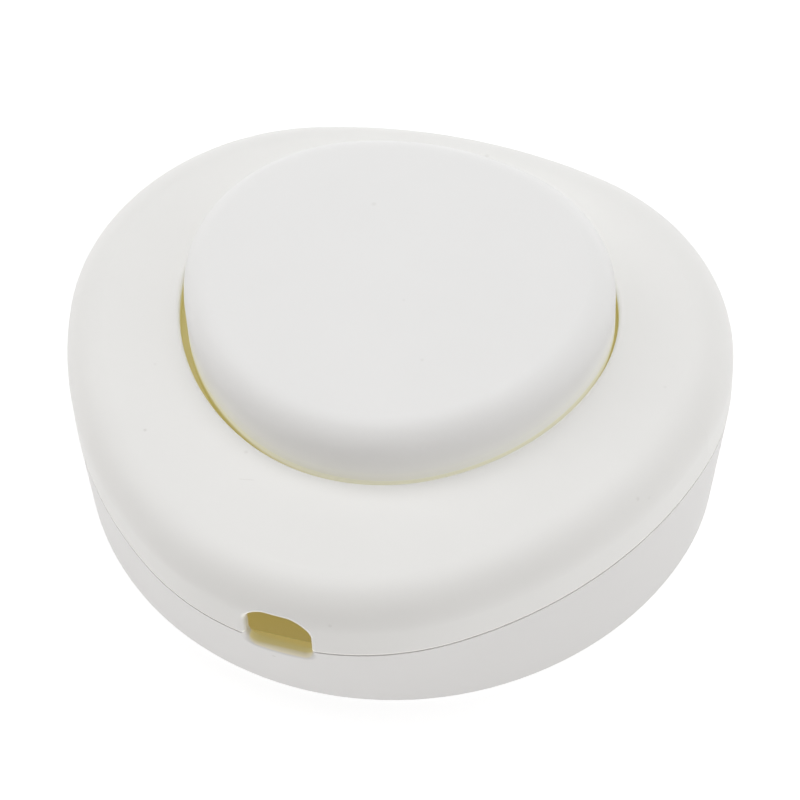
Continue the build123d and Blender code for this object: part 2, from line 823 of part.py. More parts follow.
# Ratchet rotor: disc with a crown of sloped teeth, a square hub below and a spring recess
with BuildPart() as rotor:
    with BuildSketch(level(rotor_bottom)):
        with Locations((0, axis_y)):
            Circle(rotor_disc_radius)
    extrude(amount=rotor_disc_height)
    recess_inner = contact_spring_radius - contact_wire / 2 - spring_side_gap
    recess_outer = contact_spring_radius + contact_wire / 2 + spring_side_gap
    with BuildSketch(level(rotor_bottom)):
        with Locations((0, axis_y)):
            Circle(recess_outer)
            Circle(recess_inner, mode=Mode.SUBTRACT)
    extrude(amount=spring_recess, mode=Mode.SUBTRACT)
    with BuildSketch(level(hub_bottom)):
        with Locations((0, axis_y)):
            Rectangle(hub_side, hub_side)
    extrude(amount=hub_height)
    tooth = sloped_sector(
        plunger_radius - tooth_wall,
        plunger_radius,
        tooth_half,
        tooth_root - rotor_disc_height / 2,
        tooth_crest,
        tooth_root + tooth_height / 2,
        Keep.BOTTOM,
    )
    with Locations((0, axis_y)):
        with PolarLocations(0, tooth_count, start_angle=-pawl_offset):
            add(tooth)
    with Locations((0, axis_y, tooth_crest)):
        Hole(spindle_radius + spindle_fit, depth=tooth_crest - hub_bottom)
save(rotor, "rotor")


# Contact bridge: thin four-armed star on the rotor's square hub
with BuildPart() as contact_bridge:
    with BuildSketch(level(bridge_bottom)):
        with Locations((0, axis_y)):
            Circle(bridge_disc)
            for turn in (0, 90):
                SlotOverall(2 * bridge_reach, bridge_arm, rotation=turn)
            Rectangle(hub_side + 2 * hub_gap, hub_side + 2 * hub_gap, mode=Mode.SUBTRACT)
    extrude(amount=bridge_thickness)
save(contact_bridge, "contact_bridge")


# Small spring that keeps the bridge down on the contacts
contact_spring = coil_spring(
    contact_wire,
    contact_spring_radius,
    bridge_top + spring_end_gap,
    rotor_bottom + spring_recess - bridge_top - 2 * spring_end_gap,
    contact_spring_turns,
)
save(contact_spring, "contact_spring")


# Spindle: headed pin with a shoulder that carries the rotor
with BuildPart() as rotor_spindle:
    with BuildSketch(level(cup_bottom)):
        with Locations((0, axis_y)):
            Circle(spindle_radius)
    extrude(amount=tooth_root + axial_play - cup_bottom)
    with BuildSketch(level(contact_floor)):
        with Locations((0, axis_y)):
            Circle(spindle_shoulder)
    extrude(amount=spindle_shoulder_height)
    with BuildSketch(level(tooth_root + axial_play)):
        with Locations((0, axis_y)):
            Circle(spindle_head)
    extrude(amount=spindle_head_height)
    fillet(rotor_spindle.edges().group_by(Axis.Z)[-1], spindle_head_height / 2)
save(rotor_spindle, "rotor_spindle")


# Switch cup: round housing of the rotor with slots for the strips and two screw lugs
with BuildPart() as switch_cup:
    with BuildSketch(level(cup_bottom)):
        with Locations((0, axis_y)):
            Circle(cup_radius)
    extrude(amount=cup_height)
    with BuildSketch(level(lug_bottom)):
        with Locations((0, axis_y)):
            Rectangle(2 * lug_reach, 2 * lug_radius, rotation=lug_turn)
        with Locations(*lug_points):
            Circle(lug_radius)
    extrude(amount=cup_top - lug_bottom)
    with BuildSketch(level(contact_floor)):
        with Locations((0, axis_y)):
            Circle(cup_inner)
    extrude(amount=cup_top - contact_floor, mode=Mode.SUBTRACT)
    with BuildSketch(level(contact_floor)):
        with Locations((0, axis_y)):
            Rectangle(2 * terminal_reach, strip_width + 2 * strip_slot_gap)
    extrude(amount=strip_thickness + strip_slot_gap, mode=Mode.SUBTRACT)
    with Locations((0, axis_y, contact_floor)):
        Hole(spindle_radius + spindle_press, depth=cup_floor)
    with Locations(*[(x, y, cup_top) for x, y in lug_points]):
        Hole(insert_screw_shank + passage_clearance, depth=cup_top - lug_bottom)
save(switch_cup, "switch_cup")


# Lid of the cup: spigot below, keyed collar above, lugs for the screws
with BuildPart() as guide_lid:
    with BuildSketch(level(cup_top)):
        with Locations((0, axis_y)):
            Circle(cup_radius)
            Rectangle(2 * lug_reach, 2 * lug_radius, rotation=lug_turn)
        with Locations(*lug_points):
            Circle(lug_radius)
    extrude(amount=lid_thickness)
    with BuildSketch(level(cup_top - spigot_height)):
        with Locations((0, axis_y)):
            Circle(cup_inner - spigot_gap)
            Circle(cup_inner - spigot_gap - spigot_wall, mode=Mode.SUBTRACT)
    extrude(amount=spigot_height)
    with BuildSketch(level(lid_top)):
        with Locations((0, axis_y)):
            Circle(collar_radius)
    extrude(amount=collar_height)
    with BuildSketch(level(cup_top)):
        with Locations((0, axis_y)):
            Circle(lid_bore)
            for turn in (0, 90):
                Rectangle(
                    2 * (plunger_radius + key_reach + key_gap),
                    key_width + 2 * key_gap,
                    rotation=turn,
                )
    extrude(amount=lid_thickness + collar_height, mode=Mode.SUBTRACT)
    with Locations(*[(x, y, lid_top) for x, y in lug_points]):
        Hole(insert_screw_shank + passage_clearance, depth=lid_thickness)
save(guide_lid, "guide_lid")


# Fixed contact strips and the riveted tips that the bridge meets
save(contact_strip(1), "contact_strip_in")
save(contact_strip(-1), "contact_strip_out")

with BuildPart() as contact_tips:
    for side in (1, -1):
        with BuildSketch(level(contact_floor)):
            with Locations((side * tip_reach, axis_y)):
                Circle(tip_shank)
        extrude(amount=strip_thickness)
        with BuildSketch(level(strip_top)):
            with Locations((side * tip_reach, axis_y)):
                Circle(tip_radius)
        extrude(amount=tip_height)
    fillet(contact_tips.edges().group_by(Axis.Z)[-1], tip_height / 2)
save(contact_tips, "contact_tips")


# Screw terminals: one for each end of the switched core, one block that joins the other core
live_in = terminal_block(terminal_reach, axis_y, terminal_bottom, terminal_size_x, terminal_size_y, [0])
live_out = terminal_block(-terminal_reach, axis_y, terminal_bottom, terminal_size_x, terminal_size_y, [0])
neutral = terminal_block(
    neutral_x,
    neutral_y,
    terminal_seat,
    neutral_length,
    terminal_size_x,
    [neutral_pitch / 2, -neutral_pitch / 2],
)
save(live_in, "terminal_in")
save(live_out, "terminal_out")
save(neutral, "neutral_terminal")


# Cord clamps at the nose and at the rear
save(clamp_bar(clamp_nose_y, clamp_nose_seat), "nose_cord_clamp")
save(clamp_bar(clamp_rear_y, clamp_rear_seat), "rear_cord_clamp")


# Screws, each set in one node
with BuildPart() as terminal_screws:
    terminal_screw = pan_screw(
        terminal_screw_shank, terminal_screw_length, terminal_screw_head, terminal_screw_head_height
    )
    with Locations(
        (terminal_reach, axis_y, terminal_bottom + terminal_height),
        (-terminal_reach, axis_y, terminal_bottom + terminal_height),
        (neutral_x + neutral_pitch / 2, neutral_y, terminal_seat + terminal_height),
        (neutral_x - neutral_pitch / 2, neutral_y, terminal_seat + terminal_height),
    ):
        add(terminal_screw)
save(terminal_screws, "terminal_screws")

with BuildPart() as insert_screws:
    insert_screw = pan_screw(
        insert_screw_shank, insert_screw_length, insert_screw_head, insert_screw_head_height
    )
    with Locations(*[(x, y, lid_top) for x, y in lug_points]):
        add(insert_screw)
save(insert_screws, "insert_screws")

with BuildPart() as clamp_screws:
    clamp_screw = sunk_screw(clamp_screw_shank, clamp_screw_length, clamp_screw_head)
    for clamp_y, clamp_seat in clamp_sites:
        bar_top = clamp_seat + cord_height + clamp_bar_thickness
        with Locations(*[(x, clamp_y, bar_top) for x in clamp_screw_xs]):
            add(clamp_screw)
save(clamp_screws, "clamp_screws")

with BuildPart() as cover_screws:
    cover_screw = pan_screw(
        cover_screw_shank, cover_screw_length, cover_screw_head, cover_screw_head_height
    )
    with Locations(*[Location((x, y, cover_screw_recess), (180, 0, 0)) for x, y in cover_screw_points]):
        add(cover_screw)
save(cover_screws, "cover_screws")
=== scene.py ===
"""Inline foot switch on a pale studio floor, seen as in the reference photograph."""

from math import cos, pi, radians, sin

import bmesh
import bpy
from mathutils import Matrix, Vector


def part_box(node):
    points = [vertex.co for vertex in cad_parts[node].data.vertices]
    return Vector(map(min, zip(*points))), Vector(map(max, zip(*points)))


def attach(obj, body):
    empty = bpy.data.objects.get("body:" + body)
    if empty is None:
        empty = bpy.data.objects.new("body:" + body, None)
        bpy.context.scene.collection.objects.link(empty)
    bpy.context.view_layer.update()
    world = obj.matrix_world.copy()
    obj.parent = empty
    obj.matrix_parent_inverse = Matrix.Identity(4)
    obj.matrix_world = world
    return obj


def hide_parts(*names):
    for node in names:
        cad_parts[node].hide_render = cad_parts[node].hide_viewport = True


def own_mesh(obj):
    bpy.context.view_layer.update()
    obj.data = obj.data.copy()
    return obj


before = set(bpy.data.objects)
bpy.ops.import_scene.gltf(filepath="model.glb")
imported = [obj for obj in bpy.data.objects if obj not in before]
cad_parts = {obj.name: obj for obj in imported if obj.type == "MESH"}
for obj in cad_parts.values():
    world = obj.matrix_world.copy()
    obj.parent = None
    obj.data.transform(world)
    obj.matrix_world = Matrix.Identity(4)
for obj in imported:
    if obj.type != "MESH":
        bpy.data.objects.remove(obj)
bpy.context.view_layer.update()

MM = 0.001

# Camera of the photograph: angles in degrees, distance and aim in metres, lens in millimetres
CAMERA_TURN = 19.35
CAMERA_ELEVATION = 51.44
CAMERA_ROLL = -3.63
CAMERA_DISTANCE = 0.250
CAMERA_AIM = Vector((0.0, 0.0, 0.010))
CAMERA_LENS = 110.6
CAMERA_SENSOR = 36
CAMERA_SHIFT = (0.0127, -0.0033)
CAMERA_CLIP_START = 0.01

# Floor that glows like a light table, in metres
FLOOR_SIZE = 4.0
FLOOR_GREY = (0.3, 0.3, 0.3, 1)
FLOOR_ROUGHNESS = 0.9
FLOOR_GLOW = 0.81
FLOOR_GLOW_COLOUR = (1, 1, 1, 1)

# Light tent: colours on the nose's side and at the rear, and the bands of directions along Y and Z
# between which they are blended
NEAR_HORIZON = (0.57, 0.525, 0.48, 1)
NEAR_HIGH = (0.15, 0.145, 0.14, 1)
FAR_HORIZON = (0.84, 0.84, 0.84, 1)
FAR_HIGH = (0.3, 0.3, 0.3, 1)
SKY_NEAR_TO_FAR = (-1.0, 1.0)
SKY_LOW_TO_HIGH = (0.0, 0.55)

# Softboxes: place and width in metres, power in watts
TOP_LIGHT = ((0.0, 0.2, 1.08), 0.9, 5.35)
LEFT_LIGHT = ((-0.7, 0.05, 0.7), 0.7, 2.4)
RIGHT_LIGHT = ((0.7, 0.05, 0.7), 0.7, 1.8)

# Colours of the white plastic outside, painted warm shade for its inside, painted light for the sill
# and the skirt's rim, and painted glows in place of the light that comes through it
WHITE_COVER = (0.88, 0.877, 0.862, 1)
WHITE_BUTTON = (0.885, 0.885, 0.88, 1)
WHITE_BASE = (0.8, 0.793, 0.786, 1)
SILL_PAINTED_LIGHT = (0.84, 0.79, 0.62, 1)
RIM_PAINTED_LIGHT = (0.58, 0.56, 0.46, 1)
PAINTED_WARM_SHADE = (0.62, 0.54, 0.33, 1)
GAP_GLOW = (0.132, 0.128, 0.042, 1)
TRAY_GLOW = (0.28, 0.225, 0.07, 1)
TRAY_FLOOR_GLOW = (0.2, 0.178, 0.078, 1)
SILL_GLOW = (0.11, 0.1, 0.075, 1)
ARCH_GLOW = (0.1, 0.096, 0.08, 1)
SKIRT_GLOW = (0.17, 0.172, 0.15, 1)
RIM_GLOW = (0.33, 0.335, 0.3, 1)
SEAM_GLOW = (0.2, 0.194, 0.172, 1)
NO_GLOW = (0, 0, 0, 1)

# Satin surface of the white plastic: grain in millimetres, share of the colour that is left in
# the darkest mottle, roughness in the lightest and darkest mottle, and the bump's strength and
# distance in metres
WHITE_GRAIN = 0.3
WHITE_UNEVENNESS = 0.4
WHITE_SHADE = 0.97
WHITE_ROUGHNESS = (0.42, 0.54)
WHITE_BUMP = (0.12, 0.02 * MM)
WHITE_IOR = 1.46

# The same for the inner pieces, with the roughness as shares of each finish's own
INNER_GRAIN = 0.2
INNER_UNEVENNESS = 0.5
INNER_SHADE = 0.86
INNER_ROUGHNESS = (0.85, 1.15)
INNER_BUMP = (0.2, 0.03 * MM)

# Noise of the plastic's grain, per millimetre
FINE_DETAIL = 2.0
SLOW_SCALE = 0.09
SLOW_DETAIL = 3.0

# How far a face looks one way: the part of its normal at which a mask starts, and is full
LOOKS_INWARD = (0.25, 0.45)
LOOKS_OUTWARD = (0.3, 0.6)
ROOF_LOOKS_DOWN = (0.4, 0.6)
ARCH_LOOKS_DOWN = (0.05, 0.3)
SILL_LOOKS_UP = (0.2, 0.6)
FLOOR_LOOKS_UP = (0.6, 0.9)

# Heights over the floor, in millimetres, between which a mask starts or ends
TRAY_START = (1.2, 1.6)
TRAY_END = (10.0, 10.4)
SILL_END = (12.2, 12.6)
SEAM_START = (12.8, 12.87)
SEAM_END = (13.0, 13.06)
ARCH_START = (13.2, 13.4)
ROOF_START = (17.0, 17.5)
SUNK_SKIRT_END = (18.6, 19.4)
HOLE_WALL_END = (19.1, 19.6)
SKIRT_RIM_END = (19.6, 20.1)
SKIRT_FADE_START = 24.7
SKIRT_FADE_DEPTH = 4.5
SKIRT_FADE_POWER = 3.0

# Distance along the cord from the casing's middle, in millimetres, where the inner sill ends
INNER_SILL_END = (30.35, 30.65)

# Small dark marks on the plastic: place and radius in millimetres, and strength
COVER_SPECKS = [
    ((3.37, 25.76, 20.2), 0.34, 0.12),
    ((-18.9, -17.48, 20.2), 0.24, 0.2),
    ((-20.77, -9.52, 20.2), 0.22, 0.07),
    ((-8.66, -17.51, 20.2), 0.28, 0.12),
    ((27.96, 0.28, 20.2), 0.24, 0.07),
    ((4.21, -32.42, 17.26), 0.26, 0.12),
    ((28.25, -12.26, 18.66), 0.28, 0.12),
    ((29.14, -11.42, 18.01), 0.24, 0.07),
]
BUTTON_SPECKS = [
    ((-3.93, 10.12, 27.19), 0.34, 0.1),
    ((2.53, -1.34, 27.41), 0.22, 0.06),
    ((6.12, -7.64, 26.91), 0.24, 0.09),
]
BASE_SPECKS = [((-2.0, -31.98, 8.98), 0.26, 0.26)]
COVER_SCRATCH = ((-8.18, -20.68, 20.2), (-6.96, -20.48, 20.2))
SCRATCH_RADIUS = 0.09
SCRATCH_STRENGTH = 0.16
SCRATCH_STEPS = 9
SPECK_EDGE = (0.3, 1.0)
MARK_GREY = (0.36, 0.34, 0.3, 1)

# Colours of the inner pieces
NYLON_COLOUR = (0.72, 0.66, 0.5, 1)
RESIN_COLOUR = (0.62, 0.55, 0.36, 1)
BRASS_COLOUR = (0.75, 0.55, 0.26, 1)
SILVER_COLOUR = (0.82, 0.81, 0.78, 1)
WIRE_COLOUR = (0.45, 0.45, 0.46, 1)
ZINC_COLOUR = (0.66, 0.67, 0.69, 1)

# Return spring under the button, in metres
SPRING_WIRE = 1.0 * MM
SPRING_TURNS = 4.5
SPRING_STEPS = 360
WIRE_SIDES = 16

FLOAT = "NodeSocketFloat"
VECTOR = "NodeSocketVector"


def add_node(tree, kind, **settings):
    """New shader node with its properties set."""
    node = tree.nodes.new(kind)
    for name, value in settings.items():
        setattr(node, name, value)
    return node


def feed(tree, node, socket, source):
    """Give an input a value, or link it to an output."""
    if isinstance(source, bpy.types.NodeSocket):
        tree.links.new(source, node.inputs[socket])
    else:
        node.inputs[socket].default_value = source


def maths(tree, operation, first, second=None, clamp=False):
    """Math node; returns its result."""
    node = add_node(tree, "ShaderNodeMath", operation=operation, use_clamp=clamp)
    feed(tree, node, 0, first)
    if second is not None:
        feed(tree, node, 1, second)
    return node.outputs[0]


def vector_maths(tree, operation, first, second, output=0):
    """Vector Math node; returns the output asked for."""
    node = add_node(tree, "ShaderNodeVectorMath", operation=operation)
    feed(tree, node, 0, first)
    feed(tree, node, 1, second)
    return node.outputs[output]


def in_millimetres(tree, place):
    """A place in metres, given in millimetres."""
    node = add_node(tree, "ShaderNodeVectorMath", operation="SCALE")
    feed(tree, node, 0, place)
    feed(tree, node, "Scale", 1 / MM)
    return node.outputs[0]


def rising(tree, value, band):
    """0 below a band of values, 1 above it and a smooth blend inside."""
    low, high = band
    node = add_node(tree, "ShaderNodeMapRange", interpolation_type="SMOOTHSTEP")
    feed(tree, node, "Value", value)
    feed(tree, node, "From Min", low)
    feed(tree, node, "From Max", high)
    return node.outputs["Result"]


def falling(tree, value, band):
    """1 below a band of values, 0 above it and a smooth blend inside."""
    return maths(tree, "SUBTRACT", 1.0, rising(tree, value, band))


def rising_against(tree, value, band):
    """The same as rising, for the value with its sign turned round."""
    return rising(tree, maths(tree, "MULTIPLY", value, -1.0), band)


def overlap(tree, first, *others):
    """Product of several masks."""
    mask = first
    for other in others:
        mask = maths(tree, "MULTIPLY", mask, other)
    return mask


def mix_colour(tree, factor, first, second):
    """Blend of two colours by a factor."""
    node = add_node(tree, "ShaderNodeMix", data_type="RGBA")
    feed(tree, node, 0, factor)
    feed(tree, node, 6, first)
    feed(tree, node, 7, second)
    return node.outputs[2]


def shaded(colour, share):
    """A colour with its red, green and blue times a share."""
    red, green, blue, alpha = colour
    return (red * share, green * share, blue * share, alpha)


def new_group(name, inputs, outputs):
    """Empty node group with named sockets; returns the group, its input node and output node."""
    group = bpy.data.node_groups.new(name, "ShaderNodeTree")
    for label, kind, value in inputs:
        socket = group.interface.new_socket(label, in_out="INPUT", socket_type=kind)
        socket.default_value = value
    for label, kind in outputs:
        group.interface.new_socket(label, in_out="OUTPUT", socket_type=kind)
    return group, group.nodes.new("NodeGroupInput"), group.nodes.new("NodeGroupOutput")


def use_group(tree, group, **values):
    """Place a group in a tree; an underscore in a keyword stands for a space in its socket's name."""
    node = add_node(tree, "ShaderNodeGroup", node_tree=group)
    for name, value in values.items():
        feed(tree, node, name.replace("_", " "), value)
    return node


def make_satin_grain():
    """Fine spark-eroded grain and slow unevenness of a moulded white surface."""
    group, given, result = new_group(
        "satin_grain",
        [("Place", VECTOR, (0, 0, 0)), ("Grain Size", FLOAT, 0.25), ("Unevenness", FLOAT, 0.5)],
        [("Height", FLOAT), ("Mottle", FLOAT)],
    )
    place = in_millimetres(group, given.outputs["Place"])
    fine = add_node(group, "ShaderNodeTexNoise")
    feed(group, fine, "Vector", place)
    feed(group, fine, "Scale", maths(group, "DIVIDE", 1.0, given.outputs["Grain Size"]))
    feed(group, fine, "Detail", FINE_DETAIL)
    slow = add_node(group, "ShaderNodeTexNoise")
    feed(group, slow, "Vector", place)
    feed(group, slow, "Scale", SLOW_SCALE)
    feed(group, slow, "Detail", SLOW_DETAIL)
    uneven = maths(group, "MULTIPLY", slow.outputs["Fac"], given.outputs["Unevenness"])
    feed(group, result, "Height", maths(group, "ADD", fine.outputs["Fac"], uneven))
    feed(group, result, "Mottle", slow.outputs["Fac"])
    return group


def make_facing():
    """Which way a point's surface looks, its height, and its distance from the casing's middle."""
    group, given, result = new_group(
        "facing",
        [
            ("Place", VECTOR, (0, 0, 0)),
            ("Normal", VECTOR, (0, 0, 1)),
            ("Axis", VECTOR, (0, 0, 0)),
            ("Middle", FLOAT, 0.0),
        ],
        [("Outward", FLOAT), ("Upward", FLOAT), ("Height", FLOAT), ("Reach", FLOAT)],
    )
    across = vector_maths(group, "SUBTRACT", given.outputs["Place"], given.outputs["Axis"])
    flat = vector_maths(group, "MULTIPLY", across, (1, 1, 0))
    radial = add_node(group, "ShaderNodeVectorMath", operation="NORMALIZE")
    feed(group, radial, 0, flat)
    outward = vector_maths(group, "DOT_PRODUCT", radial.outputs[0], given.outputs["Normal"], output=1)
    feed(group, result, "Outward", outward)
    normal_parts = add_node(group, "ShaderNodeSeparateXYZ")
    feed(group, normal_parts, 0, given.outputs["Normal"])
    feed(group, result, "Upward", normal_parts.outputs["Z"])
    place_parts = add_node(group, "ShaderNodeSeparateXYZ")
    feed(group, place_parts, 0, given.outputs["Place"])
    feed(group, result, "Height", maths(group, "DIVIDE", place_parts.outputs["Z"], MM))
    from_middle = maths(group, "SUBTRACT", place_parts.outputs["Y"], given.outputs["Middle"])
    feed(group, result, "Reach", maths(group, "ABSOLUTE", maths(group, "DIVIDE", from_middle, MM)))
    return group


def make_speck():
    """Mask of one small round mark with a soft edge; its centre and radius are in millimetres."""
    group, given, result = new_group(
        "speck",
        [
            ("Place", VECTOR, (0, 0, 0)),
            ("Centre", VECTOR, (0, 0, 0)),
            ("Radius", FLOAT, 0.2),
            ("Strength", FLOAT, 0.1),
        ],
        [("Mask", FLOAT)],
    )
    place = in_millimetres(group, given.outputs["Place"])
    away = vector_maths(group, "DISTANCE", place, given.outputs["Centre"], output=1)
    share = maths(group, "DIVIDE", away, given.outputs["Radius"])
    solid = falling(group, share, SPECK_EDGE)
    feed(group, result, "Mask", maths(group, "MULTIPLY", solid, given.outputs["Strength"]))
    return group


satin_grain = make_satin_grain()
facing = make_facing()
speck = make_speck()


def cover_inside(tree, look):
    """Mask of the cover's inner walls and of the underside of its roof, which get painted warm shade
    and a painted glow.
    """
    inward = rising_against(tree, look["Outward"], LOOKS_INWARD)
    walls = overlap(tree, inward, falling(tree, look["Height"], HOLE_WALL_END))
    downward = rising_against(tree, look["Upward"], ROOF_LOOKS_DOWN)
    roof = overlap(tree, downward, rising(tree, look["Height"], ROOF_START))
    return maths(tree, "MAXIMUM", walls, roof)


def arch_edge(tree, look):
    """Mask of the cover's thin lower edges, which get a painted glow in place of the light that comes
    through the wall.
    """
    downward = rising_against(tree, look["Upward"], ARCH_LOOKS_DOWN)
    above_seam = rising(tree, look["Height"], ARCH_START)
    below_roof = falling(tree, look["Height"], ROOF_START)
    return overlap(tree, downward, above_seam, below_roof)


def seam_line(tree, look):
    """Mask of the groove where the cover stands on the base, which gets a painted glow that lightens
    its shade.
    """
    outward = rising(tree, look["Outward"], LOOKS_OUTWARD)
    above = rising(tree, look["Height"], SEAM_START)
    below = falling(tree, look["Height"], SEAM_END)
    return overlap(tree, outward, above, below)


def tray_inside(tree, look):
    """Mask of the tray's inner walls and of what stands in it, which get painted warm shade and a
    painted glow.
    """
    inward = rising_against(tree, look["Outward"], LOOKS_INWARD)
    hidden = maths(tree, "MAXIMUM", inward, falling(tree, look["Outward"], LOOKS_OUTWARD))
    above = rising(tree, look["Height"], TRAY_START)
    below = falling(tree, look["Height"], TRAY_END)
    return overlap(tree, hidden, above, below)


def tray_floor(tree, look):
    """Mask of the faces in the tray that look up, which get painted warm shade and a painted glow."""
    upward = rising(tree, look["Upward"], FLOOR_LOOKS_UP)
    above = rising(tree, look["Height"], TRAY_START)
    below = falling(tree, look["Height"], TRAY_END)
    return overlap(tree, upward, above, below)


def sill_band(tree, look):
    """Mask of the base's faces that look up at the cord entries, which get painted cream light and a
    painted glow.
    """
    upward = rising(tree, look["Upward"], SILL_LOOKS_UP)
    above_tray = rising(tree, look["Height"], TRAY_END)
    below_seam = falling(tree, look["Height"], SILL_END)
    return overlap(tree, upward, above_tray, below_seam)


def inner_sill(tree, look):
    """Mask of the inner part of the cord entries' sills, painted with the same warm shade and glow as
    the tray's floor.
    """
    return overlap(tree, falling(tree, look["Reach"], INNER_SILL_END), sill_band(tree, look))


def button_inside(tree, look):
    """Mask of the button's hollow and of the part of its skirt that stands in the cover's hole, which
    get painted warm shade and a painted glow.
    """
    inward = rising_against(tree, look["Outward"], LOOKS_INWARD)
    return maths(tree, "MAXIMUM", inward, falling(tree, look["Height"], SUNK_SKIRT_END))


def skirt_foot(tree, look):
    """Mask of the foot of the button's skirt, which gets a painted glow, strongest at the bottom, in
    place of the light that comes through from inside.
    """
    outward = rising(tree, look["Outward"], LOOKS_OUTWARD)
    below_shoulder = maths(tree, "SUBTRACT", SKIRT_FADE_START, look["Height"])
    fade = maths(tree, "DIVIDE", below_shoulder, SKIRT_FADE_DEPTH, clamp=True)
    return overlap(tree, outward, maths(tree, "POWER", fade, SKIRT_FADE_POWER))


def skirt_rim(tree, look):
    """Mask of the line of the skirt that shows in the gap of the cover's hole, which gets painted
    cream light and a painted glow.
    """
    return falling(tree, look["Height"], SKIRT_RIM_END)


# Layers of painted shade and painted glow over the white of each piece of the casing: where, in what
# colour and with what glow
COVER_LAYERS = [
    (seam_line, WHITE_COVER, SEAM_GLOW),
    (arch_edge, WHITE_COVER, ARCH_GLOW),
    (cover_inside, PAINTED_WARM_SHADE, GAP_GLOW),
]
BASE_LAYERS = [
    (seam_line, WHITE_BASE, SEAM_GLOW),
    (sill_band, SILL_PAINTED_LIGHT, SILL_GLOW),
    (inner_sill, PAINTED_WARM_SHADE, TRAY_FLOOR_GLOW),
    (tray_inside, PAINTED_WARM_SHADE, TRAY_GLOW),
    (tray_floor, PAINTED_WARM_SHADE, TRAY_FLOOR_GLOW),
]
BUTTON_LAYERS = [
    (skirt_foot, WHITE_BUTTON, SKIRT_GLOW),
    (skirt_rim, RIM_PAINTED_LIGHT, RIM_GLOW),
    (button_inside, PAINTED_WARM_SHADE, GAP_GLOW),
]


def mark_mask(tree, place, marks):
    """Union of several round marks."""
    mask = 0.0
    for centre, radius, strength in marks:
        spot = use_group(tree, speck, Place=place, Centre=centre, Radius=radius, Strength=strength)
        mask = maths(tree, "MAXIMUM", mask, spot.outputs["Mask"])
    return mask


def new_finish(name):
    """Material with its node tree and shader, and the coordinates of the piece that it covers."""
    material = bpy.data.materials.new(name)
    material.use_nodes = True
    tree = material.node_tree
    coordinates = add_node(tree, "ShaderNodeTexCoord")
    return material, tree, tree.nodes["Principled BSDF"], coordinates


def add_surface(tree, shader, grain, roughness, bump_settings):
    """Roughness that changes with the mottle, and bump from the grain."""
    rough = add_node(tree, "ShaderNodeMapRange")
    feed(tree, rough, "Value", grain.outputs["Mottle"])
    feed(tree, rough, "To Min", roughness[0])
    feed(tree, rough, "To Max", roughness[1])
    feed(tree, shader, "Roughness", rough.outputs["Result"])
    strength, distance = bump_settings
    bump = add_node(tree, "ShaderNodeBump")
    feed(tree, bump, "Strength", strength)
    feed(tree, bump, "Distance", distance)
    feed(tree, bump, "Height", grain.outputs["Height"])
    feed(tree, shader, "Normal", bump.outputs["Normal"])


def moulded_white(name, colour, specks, layers):
    """Satin white plastic with marks; each layer holds a mask function, a colour and a glow that
    paint shade and light on it.
    """
    material, tree, shader, coordinates = new_finish(name)
    place = coordinates.outputs["Object"]
    normal = coordinates.outputs["Normal"]
    grain = use_group(
        tree, satin_grain, Place=place, Grain_Size=WHITE_GRAIN, Unevenness=WHITE_UNEVENNESS
    )
    look = use_group(
        tree, facing, Place=place, Normal=normal, Axis=hole_axis, Middle=casing_middle
    ).outputs
    shade = mix_colour(tree, grain.outputs["Mottle"], colour, shaded(colour, WHITE_SHADE))
    shade = mix_colour(tree, mark_mask(tree, place, specks), shade, MARK_GREY)
    glow = NO_GLOW
    for mask_of, own_colour, own_glow in layers:
        mask = mask_of(tree, look)
        shade = mix_colour(tree, mask, shade, own_colour)
        glow = mix_colour(tree, mask, glow, own_glow)
    feed(tree, shader, "Base Color", shade)
    feed(tree, shader, "Emission Color", glow)
    feed(tree, shader, "Emission Strength", 1.0)
    feed(tree, shader, "IOR", WHITE_IOR)
    add_surface(tree, shader, grain, WHITE_ROUGHNESS, WHITE_BUMP)
    return material


def inner_finish(name, colour, metallic, roughness):
    """Metal or resin of an inner piece, with a fine uneven surface."""
    material, tree, shader, coordinates = new_finish(name)
    place = coordinates.outputs["Object"]
    grain = use_group(
        tree, satin_grain, Place=place, Grain_Size=INNER_GRAIN, Unevenness=INNER_UNEVENNESS
    )
    shade = mix_colour(tree, grain.outputs["Mottle"], colour, shaded(colour, INNER_SHADE))
    feed(tree, shader, "Base Color", shade)
    feed(tree, shader, "Metallic", metallic)
    roughness_range = [roughness * share for share in INNER_ROUGHNESS]
    add_surface(tree, shader, grain, roughness_range, INNER_BUMP)
    return material


def dress(node_name, material):
    """Give a CAD node its finish."""
    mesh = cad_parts[node_name].data
    mesh.materials.clear()
    mesh.materials.append(material)


# Finishes of the casing
button_low, button_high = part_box("button")
hole_axis = (0, (button_low.y + button_high.y) / 2, 0)
base_low, base_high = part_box("base")
casing_middle = (base_low.y + base_high.y) / 2
scratch_start, scratch_end = (Vector(end) for end in COVER_SCRATCH)
scratch = []
for step in range(SCRATCH_STEPS):
    along = scratch_start.lerp(scratch_end, step / (SCRATCH_STEPS - 1))
    scratch.append((tuple(along), SCRATCH_RADIUS, SCRATCH_STRENGTH))
dress("cover", moulded_white("cover_white", WHITE_COVER, COVER_SPECKS + scratch, COVER_LAYERS))
dress("base", moulded_white("base_white", WHITE_BASE, BASE_SPECKS, BASE_LAYERS))
dress("button", moulded_white("button_white", WHITE_BUTTON, BUTTON_SPECKS, BUTTON_LAYERS))

